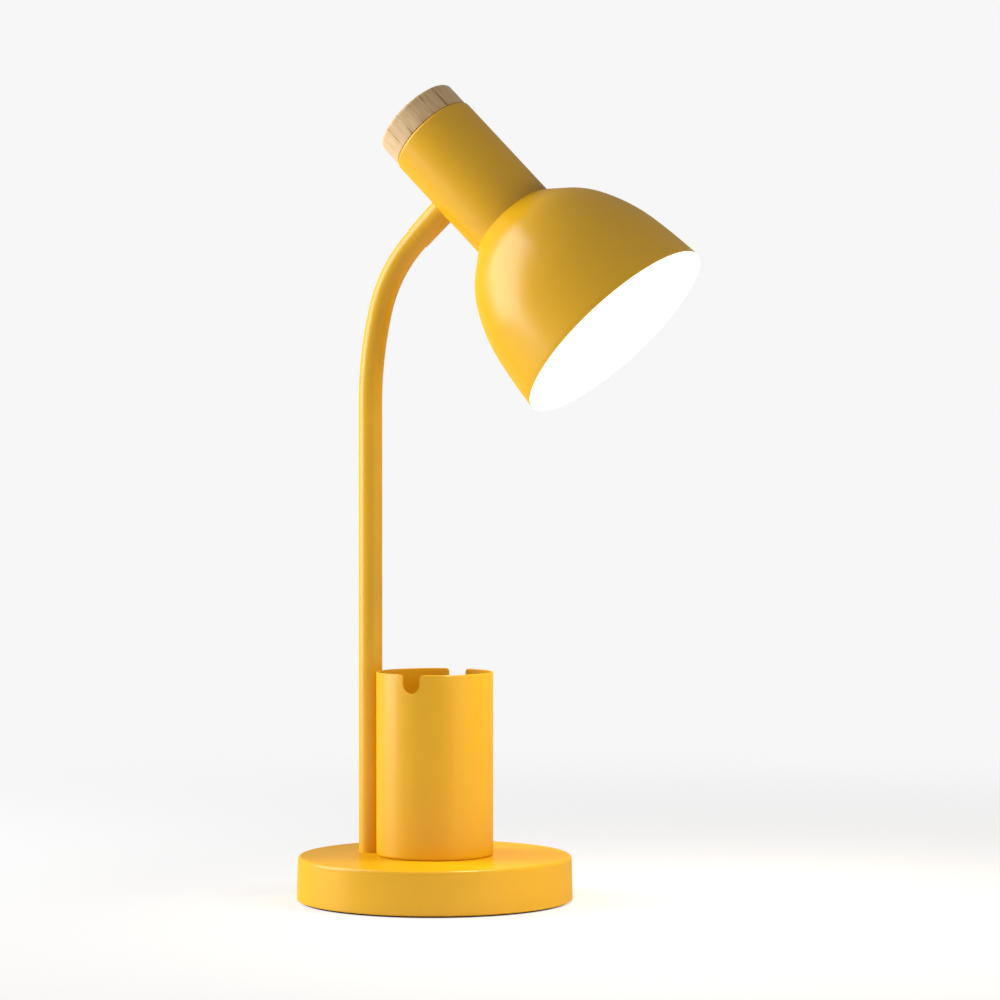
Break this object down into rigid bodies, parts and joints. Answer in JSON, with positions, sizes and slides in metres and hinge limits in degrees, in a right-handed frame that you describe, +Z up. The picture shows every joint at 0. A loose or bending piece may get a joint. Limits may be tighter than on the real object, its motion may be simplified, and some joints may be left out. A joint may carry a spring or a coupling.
{
  "type": "desk lamp",
  "caption": "Gooseneck desk lamp on a round weighted base with a pen cup, a bell shade on a round neck with a wooden end cap, and a rocker switch at the back.",
  "frame": {"origin": "on the table under the middle of the round base", "axes": "+Z up, +X the way the head faces, XZ the lamp's plane of symmetry"},
  "size_m": [0.2257, 0.1512, 0.446],
  "materials": {
    "yellow_paint": "satin powder coat",
    "yellow_sleeve": "smooth satin sleeve",
    "light_oak": "clear satin oil",
    "dark_foam": "matte",
    "black_rubber": "matte",
    "zinc_steel": "zinc plated",
    "cast_iron": "rough as cast",
    "brass": "plain",
    "black_plastic": "fine matte",
    "wire_insulation": "smooth",
    "white_plastic": "smooth",
    "opal": "opal, lit",
    "nickel": "nickel plated"
  },
  "bodies": {
    "base": {"base_shell": "yellow_paint", "base_pillars": "zinc_steel", "bottom_plate": "zinc_steel", "plate_screws": "zinc_steel", "foot_pad": "dark_foam", "base_weight": "cast_iron", "pen_cup": "yellow_paint", "cup_screws": "zinc_steel", "cup_nuts": "zinc_steel", "foot_fitting": "zinc_steel", "foot_washer": "zinc_steel", "foot_nut": "zinc_steel", "gooseneck_foot": "zinc_steel", "gooseneck_sleeve": "yellow_sleeve", "lamp_lead": "black_rubber", "switch_housing": "black_plastic", "switch_tabs": "brass", "switch_wires": "wire_insulation", "connector_block": "white_plastic", "connector_screws": "zinc_steel", "cord_bush": "black_rubber"},
    "rocker": {"switch_rocker": "black_plastic"},
    "link_1": {"gooseneck_link_1": "zinc_steel"},
    "link_2": {"gooseneck_link_2": "zinc_steel"},
    "link_3": {"gooseneck_link_3": "zinc_steel"},
    "link_4": {"gooseneck_link_4": "zinc_steel"},
    "link_5": {"gooseneck_link_5": "zinc_steel"},
    "link_6": {"gooseneck_link_6": "zinc_steel"},
    "link_7": {"gooseneck_link_7": "zinc_steel"},
    "link_8": {"gooseneck_link_8": "zinc_steel"},
    "link_9": {"gooseneck_link_9": "zinc_steel"},
    "head": {"gooseneck_tip": "zinc_steel", "top_ferrule": "yellow_paint", "saddle_washer": "zinc_steel", "ferrule_nut": "zinc_steel", "neck_shell": "yellow_paint", "wood_cap": "light_oak", "wood_cap_screw": "zinc_steel", "holder_standoffs": "zinc_steel", "standoff_screws": "zinc_steel", "lampholder_body": "white_plastic", "lampholder_shell": "brass", "lampholder_contact": "brass", "lampholder_terminals": "brass", "shade": "yellow_paint", "shade_ring": "white_plastic", "bulb_globe": "opal", "bulb_collar": "white_plastic", "bulb_cap": "nickel", "bulb_insulator": "black_plastic", "bulb_contact": "brass"}
  },
  "joints": [
    {"name": "neck_bend_1", "type": "hinge", "parent": "base", "child": "link_1", "pos_m": [-0.0388, 0, 0.15104], "axis": [0, 1, 0], "range_deg": [-9.8, 9.8], "deforming": ["gooseneck_sleeve", "lamp_lead"]},
    {"name": "neck_sway_1", "type": "hinge", "parent": "link_1", "child": "link_2", "pos_m": [-0.0388, 0, 0.17312], "axis": [1, 0, 0], "range_deg": [-9.8, 9.8], "deforming": ["gooseneck_sleeve", "lamp_lead"]},
    {"name": "neck_bend_2", "type": "hinge", "parent": "link_2", "child": "link_3", "pos_m": [-0.0388, 0, 0.19519], "axis": [0, 1, 0], "range_deg": [-9.8, 9.8]},
    {"name": "neck_sway_2", "type": "hinge", "parent": "link_3", "child": "link_4", "pos_m": [-0.0388, 0, 0.21727], "axis": [1, 0, 0], "range_deg": [-9.8, 9.8]},
    {"name": "neck_bend_3", "type": "hinge", "parent": "link_4", "child": "link_5", "pos_m": [-0.0388, 0, 0.23935], "axis": [0, 1, 0], "range_deg": [-9.8, 9.8]},
    {"name": "neck_sway_3", "type": "hinge", "parent": "link_5", "child": "link_6", "pos_m": [-0.0388, 0, 0.26143], "axis": [1, 0, 0], "range_deg": [-9.8, 9.8]},
    {"name": "neck_bend_4", "type": "hinge", "parent": "link_6", "child": "link_7", "pos_m": [-0.03852, 0, 0.2835], "axis": [0, 1, 0], "range_deg": [-9.8, 9.8]},
    {"name": "neck_sway_4", "type": "hinge", "parent": "link_7", "child": "link_8", "pos_m": [-0.03625, 0, 0.30545], "axis": [0.9881, 0, -0.154], "range_deg": [-9.8, 9.8]},
    {"name": "neck_bend_5", "type": "hinge", "parent": "link_8", "child": "link_9", "pos_m": [-0.0317, 0, 0.32704], "axis": [0, 1, 0], "range_deg": [-9.8, 9.8]},
    {"name": "neck_sway_5", "type": "hinge", "parent": "link_9", "child": "head", "pos_m": [-0.02276, 0, 0.34715], "axis": [0.8493, 0, -0.5279], "range_deg": [-9.8, 9.8]},
    {"name": "switch_rock", "type": "hinge", "parent": "base", "child": "rocker", "pos_m": [-0.06418, 0.03706, 0.0125], "axis": [-0.5, -0.866, 0], "range_deg": [-16, 0]}
  ],
  "couplings": [
    {"joint": "neck_bend_2", "follows": "neck_bend_1", "ratio": 1},
    {"joint": "neck_bend_3", "follows": "neck_bend_1", "ratio": 1},
    {"joint": "neck_bend_4", "follows": "neck_bend_1", "ratio": 1},
    {"joint": "neck_bend_5", "follows": "neck_bend_1", "ratio": 1},
    {"joint": "neck_sway_2", "follows": "neck_sway_1", "ratio": 1},
    {"joint": "neck_sway_3", "follows": "neck_sway_1", "ratio": 1},
    {"joint": "neck_sway_4", "follows": "neck_sway_1", "ratio": 1},
    {"joint": "neck_sway_5", "follows": "neck_sway_1", "ratio": 1}
  ]
}
